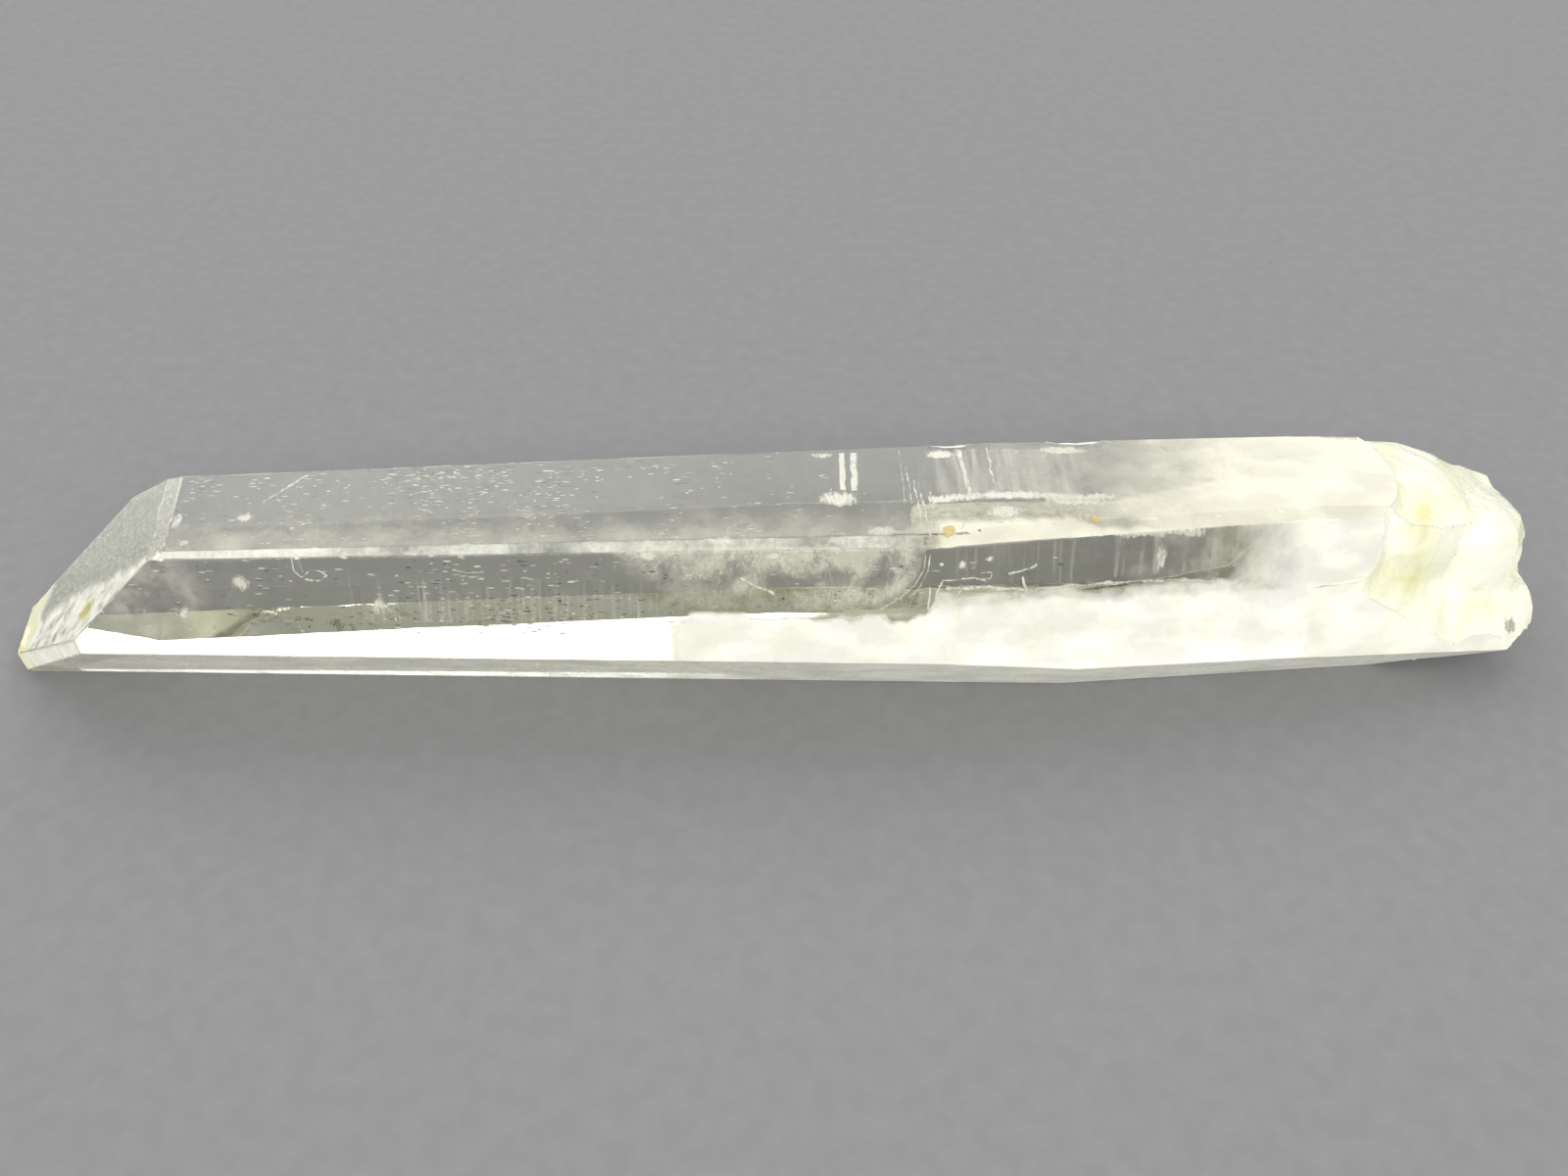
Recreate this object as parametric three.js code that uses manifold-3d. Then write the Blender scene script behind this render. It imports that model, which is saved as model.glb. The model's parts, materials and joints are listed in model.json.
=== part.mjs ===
// A quartz crystal lying on one of its prism faces.
//
// The crystal is one solid: a six-sided prism with a slanting pointed end at -X,
// and a broken end at +X where it came off the rock. Its long axis lies along X,
// Z is up, and the face that it rests on is at z = 0. Lengths are in millimetres.

import * as THREE from 'three';
import { mergeVertices } from 'three/addons/utils/BufferGeometryUtils.js';
import Module from 'manifold-3d';

// ---- driving dimensions -------------------------------------------------

// The block that the faces are cut from, and the width of a flat cutter.
const BLOCK_LENGTH = 140;
const BLOCK_THICKNESS = 40;
const CUTTER_WIDTH = 1.5 * BLOCK_LENGTH;

// Height of the long axis above the resting face.
const AXIS_HEIGHT = 7;

// The sides of the prism. The angle is the way a side faces, in degrees round
// the long axis from +Y to +Z. A side is one to three flats, each at a distance
// from the axis at a place along it, and changing by its slope per millimetre.
const SIDES = [
  {
    angle: 90,
    flats: [
      { x: -38, distance: 6.2, slope: 0.0283 },
      { x: 15, distance: 7.7, slope: -0.0217 },
      { x: 38, distance: 7.2, slope: -0.106 },
    ],
  },
  {
    angle: 150,
    flats: [
      { x: -46, distance: 6.7, slope: 0.0148 },
      { x: 12, distance: 7.5, slope: -0.1115 },
      { x: 38, distance: 4.6, slope: -0.175 },
    ],
  },
  {
    angle: 210,
    flats: [
      { x: -53, distance: 7.0, slope: 0.0135 },
      { x: 22, distance: 7.95, slope: -0.067 },
    ],
  },
  { angle: 270, flats: [{ x: 0, distance: AXIS_HEIGHT, slope: 0 }] },
  {
    angle: 330,
    flats: [
      { x: -20, distance: 8.9, slope: 0.0505 },
      { x: 20, distance: 9.9, slope: 0 },
    ],
  },
  { angle: 30, flats: [{ x: 0, distance: 8.3, slope: 0.0408 }] },
];

// The narrow worn flat along the front upper edge.
const WORN_EDGE = {
  angle: 120,
  flats: [
    { x: -46, distance: 7.12, slope: 0.0224 },
    { x: 12, distance: 8.42, slope: -0.0728 },
    { x: 38, distance: 6.5, slope: -0.155 },
  ],
};

// Faces of the pointed end: the way each one faces, and a point that it passes
// through. The large one comes first. It slopes at the angle that a quartz point
// has, 38 degrees to the long axis.
const POINT_FACES = [
  { normal: [-0.613, -0.099, 0.784], through: [-46, 3.5, 12.6] },
  { normal: [-0.618, 0.681, 0.393], through: [-54.5, 4.5, 5.5] },
  { normal: [-0.618, 0.681, -0.393], through: [-56.4, 4.7, 0] },
];

// Small faces of the pointed end that wear has made: along its lower front edge,
// along its upper edge, and under its tip.
const WORN_FACES = [
  { normal: [-0.56, -0.785, 0.26], through: [-50.4, -7.7, 7.2] },
  { normal: [-0.325, -0.05, 0.944], through: [-44.9, 0, 12.78] },
  { normal: [-0.8, -0.15, -0.58], through: [-59.5, -2, 0.9] },
];

// The broken end. Each break is a rough face: a mean plane, with domes that stand
// out from it and bowls that are broken into it. A dome or bowl has its centre,
// height or depth, and radius.
const BREAKS = [
  {
    normal: [0.3, 0, 0.954],
    through: [45.3, 2.5, 12.9],
    size: 36,
    steps: 60,
    domes: [
      { at: [49.5, 4.5, 12], height: 0.6, radius: 5 },
      { at: [53.5, 2, 10], height: 0.7, radius: 4 },
      { at: [41, 4, 14], height: 1.6, radius: 5 },
    ],
    bowls: [],
  },
  {
    normal: [0.3, -0.67, 0.68],
    through: [42.4, -3.3, 9.1],
    size: 40,
    steps: 68,
    domes: [
      { at: [38, 1, 13.5], height: 2.1, radius: 7.2 },
      { at: [47, 3, 12], height: 2.1, radius: 6 },
      { at: [53.5, 3, 9.5], height: 2.2, radius: 6 },
      { at: [55, -1.8, 5.4], height: 0.5, radius: 4.5 },
    ],
    bowls: [],
  },
  {
    normal: [0.35, 0.62, 0.7],
    through: [47, 8.2, 12.4],
    size: 36,
    steps: 50,
    domes: [
      { at: [49, 7, 11], height: 0.6, radius: 5 },
      { at: [54, 6, 8], height: 0.8, radius: 5 },
    ],
    bowls: [],
  },
  {
    normal: [0.97, -0.12, 0.2],
    through: [55.4, 0, 6],
    size: 32,
    steps: 54,
    domes: [
      { at: [55.6, 3.2, 8], height: 1.2, radius: 3.6 },
      { at: [56, -1.4, 3.8], height: 1.5, radius: 4.2 },
      { at: [55, 7, 4], height: 0.9, radius: 4.5 },
    ],
    bowls: [{ at: [55.4, -0.4, 8.2], depth: 1.0, radius: 1.5 }],
  },
  {
    normal: [0.36, -0.12, -0.93],
    through: [47.6, 0, 0],
    size: 32,
    steps: 46,
    domes: [
      { at: [53.5, -3, 2.4], height: 0.5, radius: 4 },
      { at: [54, 5, 2], height: 0.6, radius: 7 },
    ],
    bowls: [],
  },
];

// Height of a rough face away from its domes and bowls, and its faint rings.
const BREAK_FLOOR = -0.3;
const RING_HEIGHT = 0.015;
const RING_SPACING = 1.8;

// Chips out of the long edges: centre and radii.
const CHIPS = [
  { at: [12.2, 6.1, 15.2], radii: [2.2, 1.0, 1.0] },
  { at: [21.6, 6.6, 15.1], radii: [3.2, 1.0, 1.0] },
];
const CHIP_SEGMENTS = 14;

// Corners closer than this are one corner.
const SAME_PLACE = 1e-4;

const CRYSTAL_COLOUR = 0xdfe0cf;
const CRYSTAL_ROUGHNESS = 0.12;

// ---- joining and cutting -------------------------------------------------

const wasm = await Module();
wasm.setup();

function toSolid(geometry) {
  const bare = geometry.clone();
  bare.deleteAttribute('normal');
  bare.deleteAttribute('uv');
  const merged = mergeVertices(bare, SAME_PLACE);
  return new wasm.Manifold(new wasm.Mesh({
    numProp: 3,
    vertProperties: merged.attributes.position.array,
    triVerts: new Uint32Array(merged.index.array),
  }));
}

function toGeometry(solid) {
  const mesh = solid.getMesh();
  const shared = new THREE.BufferGeometry();
  shared.setAttribute('position', new THREE.BufferAttribute(mesh.vertProperties, 3));
  shared.setIndex(new THREE.BufferAttribute(mesh.triVerts, 1));
  const flat = shared.toNonIndexed();
  flat.computeVertexNormals();
  return flat;
}

// Turns a cutter, whose inner face is at its own z = 0, to face a given way.
function place(geometry, normal, through) {
  const facing = new THREE.Quaternion().setFromUnitVectors(
    new THREE.Vector3(0, 0, 1),
    normal,
  );
  geometry.applyQuaternion(facing);
  geometry.translate(through.x, through.y, through.z);
  return toSolid(geometry);
}

// ---- flat faces ------------------------------------------------------------

function flatCutter(normal, through) {
  const block = new THREE.BoxGeometry(CUTTER_WIDTH, CUTTER_WIDTH, BLOCK_THICKNESS);
  block.translate(0, 0, BLOCK_THICKNESS / 2);
  return place(block, normal, through);
}

function sideCutter(angle, flat) {
  const turn = THREE.MathUtils.degToRad(angle);
  const outward = new THREE.Vector3(0, Math.cos(turn), Math.sin(turn));
  const through = outward.clone().multiplyScalar(flat.distance);
  through.x = flat.x;
  through.z += AXIS_HEIGHT;
  const normal = outward.clone();
  normal.x = -flat.slope;
  return flatCutter(normal.normalize(), through);
}

function makePrism() {
  const block = new THREE.BoxGeometry(BLOCK_LENGTH, BLOCK_THICKNESS, BLOCK_THICKNESS);
  let prism = toSolid(block);
  for (const side of [...SIDES, WORN_EDGE]) {
    for (const flat of side.flats) {
      prism = prism.subtract(sideCutter(side.angle, flat));
    }
  }
  return prism;
}

function cutPoint(crystal) {
  let pointed = crystal;
  for (const face of [...POINT_FACES, ...WORN_FACES]) {
    const normal = new THREE.Vector3(...face.normal).normalize();
    const through = new THREE.Vector3(...face.through);
    pointed = pointed.subtract(flatCutter(normal, through));
  }
  return pointed;
}

// ---- the broken end --------------------------------------------------------

// Height of a rough face over its mean plane. Faint rings run round the middle
// of the face, as they do round the spot where a shell of glass was struck off.
function relief(x, y, domes, bowls) {
  let height = BREAK_FLOOR;
  for (const dome of domes) {
    const distance = Math.hypot(x - dome.x, y - dome.y);
    height = Math.max(height, dome.height * (1 - (distance / dome.radius) ** 2));
  }
  for (const bowl of bowls) {
    const distance = Math.hypot(x - bowl.x, y - bowl.y);
    height = Math.min(height, bowl.depth * ((distance / bowl.radius) ** 2 - 1));
  }
  const turns = Math.hypot(x, y) / RING_SPACING;
  return height + RING_HEIGHT * Math.cos(2 * Math.PI * turns);
}

// Centres given in space, turned into the plane of a rough face.
function intoPlane(spots, normal, through) {
  const flatten = new THREE.Quaternion().setFromUnitVectors(
    normal,
    new THREE.Vector3(0, 0, 1),
  );
  return spots.map((spot) => {
    const centre = new THREE.Vector3(...spot.at).sub(through).applyQuaternion(flatten);
    return { ...spot, x: centre.x, y: centre.y };
  });
}

function roughCutter(face) {
  const normal = new THREE.Vector3(...face.normal).normalize();
  const through = new THREE.Vector3(...face.through);
  const domes = intoPlane(face.domes, normal, through);
  const bowls = intoPlane(face.bowls, normal, through);
  const depth = BLOCK_THICKNESS;
  const block = new THREE.BoxGeometry(face.size, face.size, depth, face.steps, face.steps, 1);
  block.translate(0, 0, depth / 2);
  const points = block.attributes.position;
  for (let i = 0; i < points.count; i += 1) {
    if (Math.abs(points.getZ(i)) < SAME_PLACE) {
      points.setZ(i, relief(points.getX(i), points.getY(i), domes, bowls));
    }
  }
  return place(block, normal, through);
}

function breakBase(crystal) {
  let broken = crystal;
  for (const face of BREAKS) {
    broken = broken.subtract(roughCutter(face));
  }
  return broken;
}

// ---- chips -------------------------------------------------------------------

function chipEdges(crystal) {
  let chipped = crystal;
  for (const chip of CHIPS) {
    const ball = new THREE.SphereGeometry(1, CHIP_SEGMENTS, CHIP_SEGMENTS / 2);
    ball.scale(...chip.radii);
    ball.translate(...chip.at);
    chipped = chipped.subtract(toSolid(ball));
  }
  return chipped;
}

// ---- the part ------------------------------------------------------------------

// The point midway along and across, on the resting face, becomes the origin.
function centre(geometry) {
  geometry.computeBoundingBox();
  const middle = geometry.boundingBox.getCenter(new THREE.Vector3());
  geometry.translate(-middle.x, -middle.y, -geometry.boundingBox.min.z);
}

function makeCrystal() {
  const geometry = toGeometry(chipEdges(breakBase(cutPoint(makePrism()))));
  centre(geometry);
  const quartz = new THREE.MeshStandardMaterial({
    color: CRYSTAL_COLOUR,
    roughness: CRYSTAL_ROUGHNESS,
    metalness: 0,
  });
  const crystal = new THREE.Mesh(geometry, quartz);
  crystal.name = 'crystal';
  return crystal;
}

const part = new THREE.Group();
part.add(makeCrystal());

export default part;
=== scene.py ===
# %% [markdown]
# # A clear quartz crystal, lying on one of its prism faces
# The real thing is one crystal: a long six-sided prism with a slanting, chipped point at the -X end,
# and a milky break at the +X end, where it came off the rock. Its long axis lies along X, Z is up, and
# lengths here are in metres, so sizes are written as so many times MM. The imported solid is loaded
# first, because everything below is measured from it.

# %% Load the frame
import json
import math

import bpy
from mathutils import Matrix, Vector, noise
from mathutils.bvhtree import BVHTree

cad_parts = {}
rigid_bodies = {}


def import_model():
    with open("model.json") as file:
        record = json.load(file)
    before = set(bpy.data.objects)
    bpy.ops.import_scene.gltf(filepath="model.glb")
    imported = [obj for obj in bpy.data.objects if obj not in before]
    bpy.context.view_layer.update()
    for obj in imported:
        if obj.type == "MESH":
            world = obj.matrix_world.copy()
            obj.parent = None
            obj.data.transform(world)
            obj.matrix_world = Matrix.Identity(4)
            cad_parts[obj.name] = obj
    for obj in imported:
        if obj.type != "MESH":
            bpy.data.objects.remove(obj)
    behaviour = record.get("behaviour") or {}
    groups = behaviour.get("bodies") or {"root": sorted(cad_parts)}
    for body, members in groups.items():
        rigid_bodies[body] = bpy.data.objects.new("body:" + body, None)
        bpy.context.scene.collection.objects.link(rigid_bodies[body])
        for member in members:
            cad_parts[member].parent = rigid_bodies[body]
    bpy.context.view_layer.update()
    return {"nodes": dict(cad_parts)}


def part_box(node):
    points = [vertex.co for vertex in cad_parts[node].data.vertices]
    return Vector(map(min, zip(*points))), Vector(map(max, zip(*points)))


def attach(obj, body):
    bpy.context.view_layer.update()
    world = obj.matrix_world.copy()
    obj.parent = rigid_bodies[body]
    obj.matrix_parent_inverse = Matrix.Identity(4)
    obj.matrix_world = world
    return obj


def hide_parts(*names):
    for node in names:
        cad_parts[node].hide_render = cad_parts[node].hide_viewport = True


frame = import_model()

MM = 0.001
crystal = frame["nodes"]["crystal"]
low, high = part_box("crystal")
TOP = high.z
print("crystal, mm:", [round(v / MM, 2) for v in (*low, *high)])

# %% [markdown]
# ## Small tools
# Every piece below is shaped as by hand: an object is made the only selected one, edit mode is opened,
# some faces are selected by their place or the way they face, and an operator does the work. These few
# helpers keep those steps short.

# %% Helpers for shaping by hand
FACES, EDGES = "polygons", "edges"
MERGE_WITHIN = 0.01 * MM
FLAT_WITHIN = math.radians(0.3)


def only(piece):
    """Makes a piece the one selected and active object."""
    bpy.ops.object.select_all(action="DESELECT")
    piece.select_set(True)
    bpy.context.view_layer.objects.active = piece


def edit(piece):
    """Opens edit mode with all of the piece selected."""
    only(piece)
    bpy.ops.object.mode_set(mode="EDIT")
    bpy.ops.mesh.select_all(action="SELECT")


def leave():
    """Goes back to object mode."""
    bpy.ops.object.mode_set(mode="OBJECT")


def edit_some(piece, part, wanted):
    """Opens edit mode with only the faces, or only the edges, that pass a test selected."""
    only(piece)
    bpy.context.tool_settings.mesh_select_mode = (False, part == EDGES, part == FACES)
    for each in ("vertices", EDGES, FACES):
        items = getattr(piece.data, each)
        items.foreach_set("select", [each == part and bool(wanted(item)) for item in items])
    bpy.ops.object.mode_set(mode="EDIT")


def cut_across(piece, axis, places):
    """Cuts new edges into a piece on planes across one axis, without taking anything off."""
    edit(piece)
    for place in places:
        point, way = [0, 0, 0], [0, 0, 0]
        point[axis], way[axis] = place, 1
        bpy.ops.mesh.select_all(action="SELECT")
        bpy.ops.mesh.bisect(plane_co=point, plane_no=way)
    leave()


def apply_modifier(piece, kind, **settings):
    """Adds a modifier with its settings, and applies it."""
    only(piece)
    modifier = piece.modifiers.new(kind.lower(), kind)
    for name, value in settings.items():
        setattr(modifier, name, value)
    bpy.ops.object.modifier_apply(modifier=modifier.name)


def triangles(piece):
    """How many triangles a piece has."""
    return sum(len(face.vertices) - 2 for face in piece.data.polygons)


def duplicate_of(piece, name):
    """A copy of a piece, which is then the selected one."""
    only(piece)
    bpy.ops.object.duplicate()
    bpy.context.object.name = name
    return bpy.context.object


def copy_of_solid(name):
    """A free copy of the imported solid, with its loose triangles merged into one closed skin."""
    copy = duplicate_of(crystal, name)
    bpy.ops.object.parent_clear(type="CLEAR_KEEP_TRANSFORM")
    for key in list(copy.keys()):
        del copy[key]
    copy.data.materials.clear()
    edit(copy)
    bpy.ops.mesh.remove_doubles(threshold=MERGE_WITHIN)
    bpy.ops.mesh.dissolve_limited(angle_limit=FLAT_WITHIN)
    leave()
    return copy


# %% [markdown]
# Shapes and finishes also need a few sums: even steps, a smooth ramp, and lines drawn through marks.

# %% Helpers for sums
def steps(start, stop, step):
    """Places from start to stop, a step apart."""
    return [start + step * i for i in range(int((stop - start) / step) + 1)]


def between(start, stop, share):
    """The place that is a share of the way from start to stop."""
    return start + (stop - start) * share


def ramp(value, start, stop):
    """Goes smoothly from 0 at start to 1 at stop."""
    share = min(max((value - start) / (stop - start), 0), 1)
    return share * share * (3 - 2 * share)


def in_mm(marks, unit=MM):
    """Marks written in millimetres; with a unit of 1 only their places are."""
    return [(place * MM, value * unit) for place, value in marks]


def along(value, marks):
    """Reads a value off straight lines drawn between marks, each a place and a value."""
    for (place, here), (following, there) in zip(marks, marks[1:]):
        if value < following:
            return here + (there - here) * max(value - place, 0) / (following - place)
    return marks[-1][1]


# %% [markdown]
# ## The clear body
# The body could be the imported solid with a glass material, but then every edge would be a perfect knife
# edge and every face a perfect mirror, which no natural crystal has. So the body is a merged copy. First
# each of its faces is given a kind, found from its size and the way it faces, because the later steps
# treat clean prism faces, worn faces and the break each in its own way.

# %% Copy the solid and sort its faces
KINDS = range(8)
SIDE, WORN_EDGE, POINT, WORN_TIP, SOFT_TOP, BREAK, CHIP, ROUNDED = KINDS
LEAST_FLAT = 0.9 * MM * MM
LEAST_SIDE_BY_BREAK = 4 * MM * MM
BREAK_START = 38 * MM
SIDE_TURNS = (30, 90, 120, 150, 210, 270, 330)
TURN_SLACK = 1.5
LEAST_SLANT = 0.2
UP, ALMOST_UP, FORWARD = 0.8, 0.9, -0.4
LEANS_TO_POINT, STEEP = -0.25, -0.7

body = copy_of_solid("clear_body")


def is_side(way):
    """True for a normal that points the way one of the long flats does."""
    turn = math.degrees(math.atan2(way.z, way.y)) % 360
    return abs(way.x) < LEAST_SLANT and min(abs(turn - side) for side in SIDE_TURNS) < TURN_SLACK


def kind_of(face):
    way = face.normal
    if face.center.x > BREAK_START:
        return SIDE if is_side(way) and face.area > LEAST_SIDE_BY_BREAK else BREAK
    if face.area < LEAST_FLAT:
        return CHIP
    if way.x < LEANS_TO_POINT:
        if way.z > ALMOST_UP:
            return SOFT_TOP
        return WORN_TIP if min(way.x, way.y) < STEEP else POINT
    return WORN_EDGE if way.z > UP and way.y < FORWARD else SIDE


kinds = body.data.attributes.new("kind", "INT", "FACE")
kinds.data.foreach_set("value", [kind_of(face) for face in body.data.polygons])
print("faces of each kind:", [sum(k.value == n for k in kinds.data) for n in KINDS])

# %% [markdown]
# The long edges of a crystal that has been handled are a little rounded, and that thin rounding is what
# catches the light. A material could fake it, but the outline would stay sharp, so real faces are
# bevelled in, only between two large flats. The bevel stops short of the break, where the edges are
# fresh, and leaves out the two edges low at the back, which nothing has touched.

# %% Round the long edges
EDGE_ROUNDING = 0.08 * MM
LAST_ROUNDED = 41 * MM
LEAST_BEND = math.radians(12)
BACK_Y, BACK_TOP = 1.5 * MM, 9 * MM
NARROW = 1.5 * EDGE_ROUNDING

cut_across(body, 0, [LAST_ROUNDED])


def faces_beside(mesh):
    """For each edge, the faces beside it."""
    beside = {}
    for face in mesh.polygons:
        for key in face.edge_keys:
            beside.setdefault(key, []).append(face)
    return [beside[edge.key] for edge in mesh.edges]


def crisp_edges(mesh):
    """The edges between two large flats that meet at an angle."""
    found = set()
    for edge, faces in zip(mesh.edges, faces_beside(mesh)):
        ends = [mesh.vertices[i].co for i in edge.vertices]
        flats = all(face.area > LEAST_FLAT for face in faces)
        bend = faces[0].normal.angle(faces[1].normal) if len(faces) == 2 else 0
        handled = max(end.x for end in ends) < LAST_ROUNDED + MERGE_WITHIN
        behind = all(end.y > BACK_Y and end.z < BACK_TOP for end in ends)
        if flats and bend > LEAST_BEND and handled and not behind:
            found.add(edge.index)
    return found


rounded = crisp_edges(body.data)
edit_some(body, EDGES, lambda edge: edge.index in rounded)
bpy.ops.mesh.bevel(offset=EDGE_ROUNDING, segments=2, affect="EDGES", clamp_overlap=True)
leave()


def is_narrow(face):
    """True for the long narrow faces that the bevel made."""
    corners = [body.data.vertices[i].co for i in face.vertices]
    longest = max((a - b).length for a, b in zip(corners, corners[1:] + corners[:1]))
    return face.area < NARROW * longest


for face in body.data.polygons:
    if face.select and is_narrow(face):
        body.data.attributes["kind"].data[face.index].value = ROUNDED
print("edges rounded:", len(rounded), "faces now:", len(body.data.polygons))

# %% [markdown]
# To give the faces any relief they need points to move. A remesh would make points too, but it would
# blunt the clean edges, while cuts keep every flat face flat. Cuts across the three axes lay an even net
# over the whole body, and the parts with fine relief are then subdivided further: the worn edge, the
# point, the chips and the break.

# %% Lay a net of points over the body
NET_ALONG = 1.0 * MM
NET_ACROSS = 1.6 * MM
POINT_ZONE = -42 * MM

cut_across(body, 0, steps(low.x + NET_ALONG, high.x - NET_ALONG, NET_ALONG))
cut_across(body, 1, steps(low.y + NET_ACROSS, high.y - NET_ACROSS, NET_ACROSS))
cut_across(body, 2, steps(NET_ACROSS, TOP - NET_ACROSS, NET_ACROSS))


def make_triangles(piece):
    edit(piece)
    bpy.ops.mesh.quads_convert_to_tris(quad_method="BEAUTY", ngon_method="BEAUTY")
    leave()


def refine(piece, cuts, wanted):
    """Subdivides the faces whose kind and middle pass a test."""
    kind = piece.data.attributes["kind"].data
    edit_some(piece, FACES, lambda face: wanted(kind[face.index].value, face.center))
    bpy.ops.mesh.subdivide(number_cuts=cuts)
    leave()
    make_triangles(piece)


make_triangles(body)
refine(body, 2, lambda kind, place: kind == BREAK)
refine(body, 3, lambda kind, place: kind == WORN_EDGE or place.x < POINT_ZONE)
refine(body, 1, lambda kind, place: kind == CHIP)
refine(body, 2, lambda kind, place: kind == ROUNDED and place.x > POINT_ZONE)
print("net:", len(body.data.vertices), "points,", triangles(body), "triangles")

# %% [markdown]
# ## Relief of the surface
# Each point of the net is now moved a little along its normal, and given two numbers that the finishes
# read: how frosted the surface is there, and how much iron has stained it yellow. Clean faces only wave
# by about a hundredth of a millimetre, which is enough to break up their reflections. The worn edge is
# pitted, a strip of the point beside its front edge is chipped away, and the break has the ripples and
# ridges of struck glass.

# %% Work out how each point belongs to the kinds of face
OCTAVES = 3


def kind_shares(mesh):
    """For each point, the share of the faces round it that are of each kind."""
    shares = [[0] * len(KINDS) for _ in mesh.vertices]
    kind = mesh.attributes["kind"].data
    for face in mesh.polygons:
        for i in face.vertices:
            shares[i][kind[face.index].value] += 1
    return [[n / sum(row) for n in row] if sum(row) else row for row in shares]


def bumps(place, size):
    """Fractal noise of about -1 to 1, with its largest bumps a size across."""
    return noise.fractal(place / size, 0.9, 2.1, OCTAVES)


def waves(place, *sizes):
    """Bumps of several sizes added up, each given as a height and a width in millimetres."""
    return sum(tall * bumps(place, wide * MM) for tall, wide in sizes)


def ridges(place, size):
    """Sharp-crested noise of 0 to about 1."""
    return noise.ridged_multi_fractal(place / size, 1.0, 2.1, OCTAVES, 0.9, 1.6) / 2.2


# %% [markdown]
# The chipped strip on the point lies between its front edge and a line that runs down it. The line is
# given by a few marks: how far along the crystal, and how far across it there. Iron has stained the rim
# and the foot of the tip, one spot on the point, and the break, where it gathers in a soft band and a
# tan patch.

# %% Say where the point is chipped and what is stained
CHIPPED_STRIP = in_mm([(-57, -2.1), (-52.1, -2.8), (-48.1, -4.2), (-43, -5.5)])
TIP_RIM = -56.2 * MM
STAIN_ON_POINT = Vector((-50.0, -5.8, 7.5)) * MM
STAIN_SIZE = 1.0 * MM
YELLOW_BAND_X, YELLOW_BAND_HALF = 47.7 * MM, 1.4 * MM
TAN_PATCH = Vector((45.3, -4.1, 8.8)) * MM
TAN_SIZE = 2.2 * MM
RIM_STAIN, FOOT_STAIN, SPOT_STAIN = 0.8, 0.55, 1.2
BASE_STAIN, BAND_STAIN, TAN_STAIN = 0.26, 0.42, 0.26


def chipped(place):
    """1 inside the chipped strip on the point, and 0 outside it."""
    wander = 0.3 * MM * bumps(place, 1.6 * MM)
    return ramp(along(place.x, CHIPPED_STRIP) - place.y + wander, 0, 0.35 * MM)


def yellow(place, share):
    """How stained a place is."""
    rim = ramp(-place.x, -TIP_RIM, 58.5 * MM) * RIM_STAIN
    foot = FOOT_STAIN * ramp(-place.x, 53.5 * MM, 56 * MM) * ramp(-place.z, -2.4 * MM, -0.6 * MM)
    spot = SPOT_STAIN * ramp(STAIN_SIZE * 1.3 - (place - STAIN_ON_POINT).length, 0, STAIN_SIZE)
    base = BASE_STAIN + waves(place, (0.12, 4))
    wander = 0.5 * MM * bumps(place, 1.5 * MM)
    across = YELLOW_BAND_HALF - abs(place.x - YELLOW_BAND_X) + wander
    band = ramp(across, -0.6 * MM, 1.2 * MM)
    band *= ramp(place.y + wander, -4.6 * MM, -3.0 * MM)
    band *= 1 - ramp(place.y - wander, -0.2 * MM, 2.2 * MM)
    tan = ramp(TAN_SIZE - (place - TAN_PATCH).length + wander, 0, 1.6 * MM)
    on_break = share[BREAK] * (base + BAND_STAIN * band + TAN_STAIN * tan)
    return min(max(rim, foot, spot, on_break, 0), 1)


# %% [markdown]
# Relief and frost could be painted as a map, but then the outline would stay straight. Worked out for
# each point from the kinds of face round it, they blend into each other where the kinds meet.

# %% Move the points and note the frost and the stain
CLEAN_FROST, POINT_FROST, WORN_FROST, STRIP_FROST, TIP_FROST = 0.02, 0.36, 0.38, 0.28, 0.75
WORN_START, WORN_END = 10 * MM, 12 * MM
NICK_SHIFT = Vector((0, 0, 90 * MM))
NICK_LEVEL = 0.42
NICKED_UP_TO = 4 * MM
CLEAR_CHIP, CLEAR_CHIP_SIZE = Vector((56.2, -4.6, 4.3)) * MM, 0.8 * MM


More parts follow.
